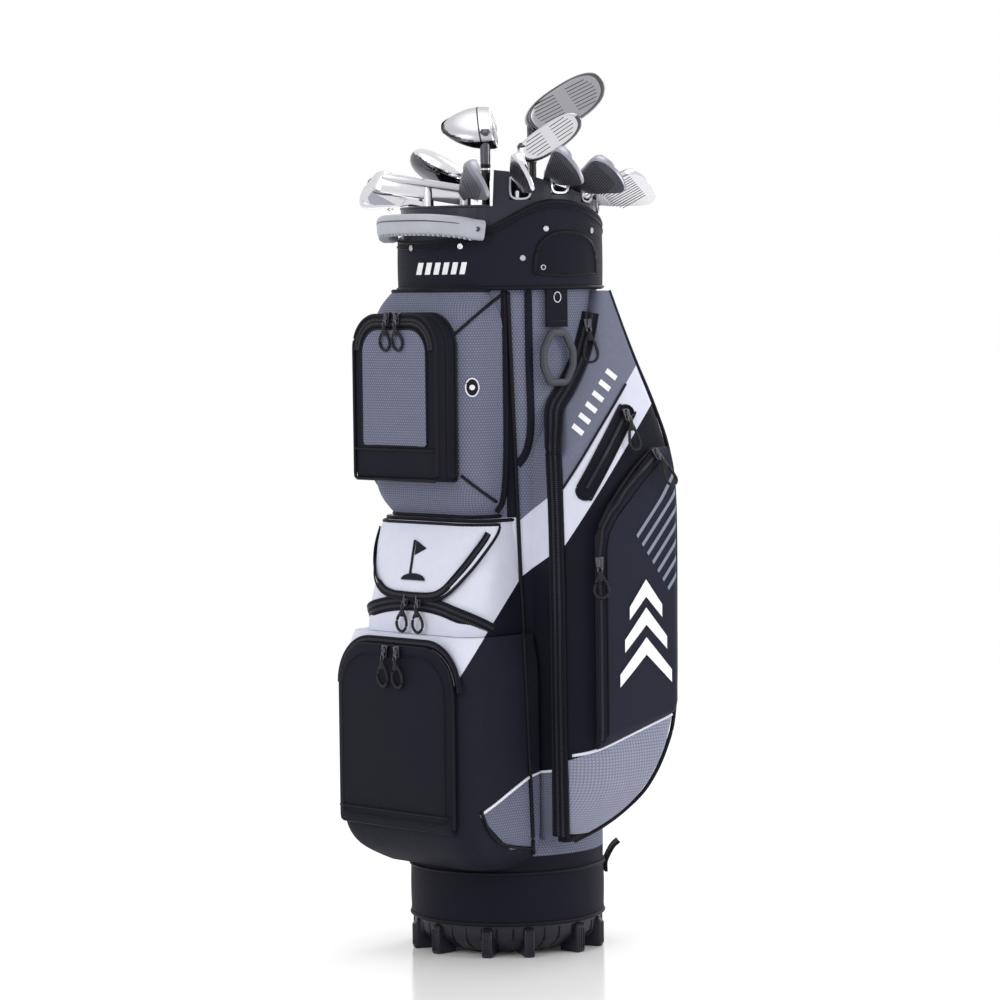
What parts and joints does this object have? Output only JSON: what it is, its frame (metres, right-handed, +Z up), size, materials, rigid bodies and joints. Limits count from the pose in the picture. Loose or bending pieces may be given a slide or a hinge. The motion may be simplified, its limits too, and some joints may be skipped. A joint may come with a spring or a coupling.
{
  "type": "golf club set in a cart bag",
  "caption": "Stand-up golf cart bag with a stepped organiser top, zipped pockets, a grab handle and a shoulder strap, holding a set of woods, irons and a putter that lift out.",
  "frame": {"origin": "on the floor under the middle of the tube", "axes": "+Z up along the tube; the front pockets and the grab handle face -Y; the tall clothing pocket is on +X"},
  "size_m": [0.371, 0.3584, 1.0491],
  "materials": {
    "black_fabric": "woven polyester, matt",
    "grey_fabric": "honeycomb-weave polyester",
    "white_fabric": "white coated polyester",
    "black_plastic": "moulded, satin",
    "grey_plastic": "moulded, matt",
    "grip_rubber": "moulded rubber",
    "polished_steel": "polished and brushed",
    "dark_steel": "black nickel",
    "hollow_head": "polished and lacquered; a hollow metal shell in reality",
    "steel_shaft": "bright metal tube",
    "graphite": "lacquered composite tube",
    "aluminium_rod": "drawn",
    "webbing": "woven webbing"
  },
  "bodies": {
    "bag": {"ball_pocket": "black_fabric", "base_band": "black_fabric", "base_lift_handle": "webbing", "base_shell": "black_plastic", "body_tube": "grey_fabric", "cooler_pocket": "white_fabric", "divider_sheet_front": "black_fabric", "divider_sheet_rear": "black_fabric", "divider_top": "black_plastic", "front_handle": "grey_plastic", "left_side_pocket": "black_fabric", "right_side_pocket": "black_fabric", "shoulder_strap": "webbing", "stay_rod_front": "aluminium_rod", "stay_rod_right": "aluminium_rod", "top_cuff": "black_fabric", "towel_strap": "webbing", "upper_pocket": "grey_fabric"},
    "driver": {"driver_head": "hollow_head", "driver_shaft": "graphite", "driver_grip": "grip_rubber"},
    "fairway_wood_3": {"fairway_wood_3_head": "hollow_head", "fairway_wood_3_shaft": "graphite", "fairway_wood_3_grip": "grip_rubber"},
    "fairway_wood_5": {"fairway_wood_5_head": "hollow_head", "fairway_wood_5_shaft": "graphite", "fairway_wood_5_grip": "grip_rubber"},
    "hybrid": {"hybrid_head": "hollow_head", "hybrid_shaft": "graphite", "hybrid_grip": "grip_rubber"},
    "putter": {"putter_head": "polished_steel", "putter_shaft": "steel_shaft", "putter_grip": "grip_rubber"},
    "iron_5": {"iron_5_head": "dark_steel", "iron_5_shaft": "steel_shaft", "iron_5_grip": "grip_rubber"},
    "iron_6": {"iron_6_head": "polished_steel", "iron_6_shaft": "steel_shaft", "iron_6_grip": "grip_rubber"},
    "iron_7": {"iron_7_head": "polished_steel", "iron_7_shaft": "steel_shaft", "iron_7_grip": "grip_rubber"},
    "iron_8": {"iron_8_head": "dark_steel", "iron_8_shaft": "steel_shaft", "iron_8_grip": "grip_rubber"},
    "iron_9": {"iron_9_head": "dark_steel", "iron_9_shaft": "steel_shaft", "iron_9_grip": "grip_rubber"},
    "sand_wedge": {"sand_wedge_head": "polished_steel", "sand_wedge_shaft": "steel_shaft", "sand_wedge_grip": "grip_rubber"},
    "ball_flap": {"ball_pocket_flap": "black_fabric"},
    "ball_slider": {"ball_zip_slider": "dark_steel"},
    "pouch": {"pouch_flap": "grey_fabric"},
    "pouch_slider": {"pouch_zip_slider": "dark_steel"},
    "door": {"side_door": "black_fabric"},
    "door_slider": {"side_zip_slider": "dark_steel"},
    "dry_slider": {"dry_zip_slider": "dark_steel"},
    "valuables": {"valuables_flap": "white_fabric"},
    "ring": {"towel_ring": "grey_plastic"}
  },
  "joints": [
    {"name": "driver_lift", "type": "slide", "parent": "bag", "child": "driver", "axis": [0, 0, 1], "range_m": [0, 0.95]},
    {"name": "fairway_wood_3_lift", "type": "slide", "parent": "bag", "child": "fairway_wood_3", "axis": [0, 0, 1], "range_m": [0, 0.95]},
    {"name": "fairway_wood_5_lift", "type": "slide", "parent": "bag", "child": "fairway_wood_5", "axis": [0, 0, 1], "range_m": [0, 0.95]},
    {"name": "hybrid_lift", "type": "slide", "parent": "bag", "child": "hybrid", "axis": [-0.0012, 0.0003, 1], "range_m": [0, 0.95]},
    {"name": "putter_lift", "type": "slide", "parent": "bag", "child": "putter", "axis": [-0.0004, -0.0013, 1], "range_m": [0, 0.95]},
    {"name": "iron_5_lift", "type": "slide", "parent": "bag", "child": "iron_5", "axis": [0.0001, -0.0002, 1], "range_m": [0, 0.95]},
    {"name": "iron_6_lift", "type": "slide", "parent": "bag", "child": "iron_6", "axis": [-0.0008, -0.0004, 1], "range_m": [0, 0.95]},
    {"name": "iron_7_lift", "type": "slide", "parent": "bag", "child": "iron_7", "axis": [0.0072, -0.0043, 1], "range_m": [0, 0.95]},
    {"name": "iron_8_lift", "type": "slide", "parent": "bag", "child": "iron_8", "axis": [0.0083, -0.0009, 1], "range_m": [0, 0.95]},
    {"name": "iron_9_lift", "type": "slide", "parent": "bag", "child": "iron_9", "axis": [0.008, 0.0026, 1], "range_m": [0, 0.95]},
    {"name": "sand_wedge_lift", "type": "slide", "parent": "bag", "child": "sand_wedge", "axis": [0.0064, 0.0057, 1], "range_m": [0, 0.95]},
    {"name": "ball_flap_hinge", "type": "hinge", "parent": "bag", "child": "ball_flap", "pos_m": [0, -0.1759, 0.158], "axis": [1, 0, 0], "range_deg": [0, 75]},
    {"name": "ball_slider_run", "type": "slide", "parent": "ball_flap", "child": "ball_slider", "axis": [1, 0, 0], "range_m": [-0.03, 0.03]},
    {"name": "pouch_hinge", "type": "hinge", "parent": "bag", "child": "pouch", "pos_m": [0, -0.1554, 0.566], "axis": [1, 0, 0], "range_deg": [0, 75]},
    {"name": "pouch_slider_run", "type": "slide", "parent": "pouch", "child": "pouch_slider", "axis": [1, 0, 0], "range_m": [-0.025, 0.025]},
    {"name": "valuables_hinge", "type": "hinge", "parent": "bag", "child": "valuables", "pos_m": [0, -0.1285, 0.516], "axis": [-1, 0, 0], "range_deg": [0, 60]},
    {"name": "door_hinge", "type": "hinge", "parent": "bag", "child": "door", "pos_m": [0.1983, 0.096, 0.4], "axis": [0, 0, 1], "range_deg": [0, 80]},
    {"name": "door_slider_run", "type": "slide", "parent": "door", "child": "door_slider", "axis": [0, 0, -1], "range_m": [0, 0.16]},
    {"name": "dry_slider_run", "type": "slide", "parent": "bag", "child": "dry_slider", "axis": [0.1523, -0.7359, -0.6597], "range_m": [0, 0.078]},
    {"name": "ring_hinge", "type": "hinge", "parent": "bag", "child": "ring", "pos_m": [0.12113, -0.02136, 0.739], "axis": [-0.1736, -0.9848, 0], "range_deg": [0, 100]}
  ]
}
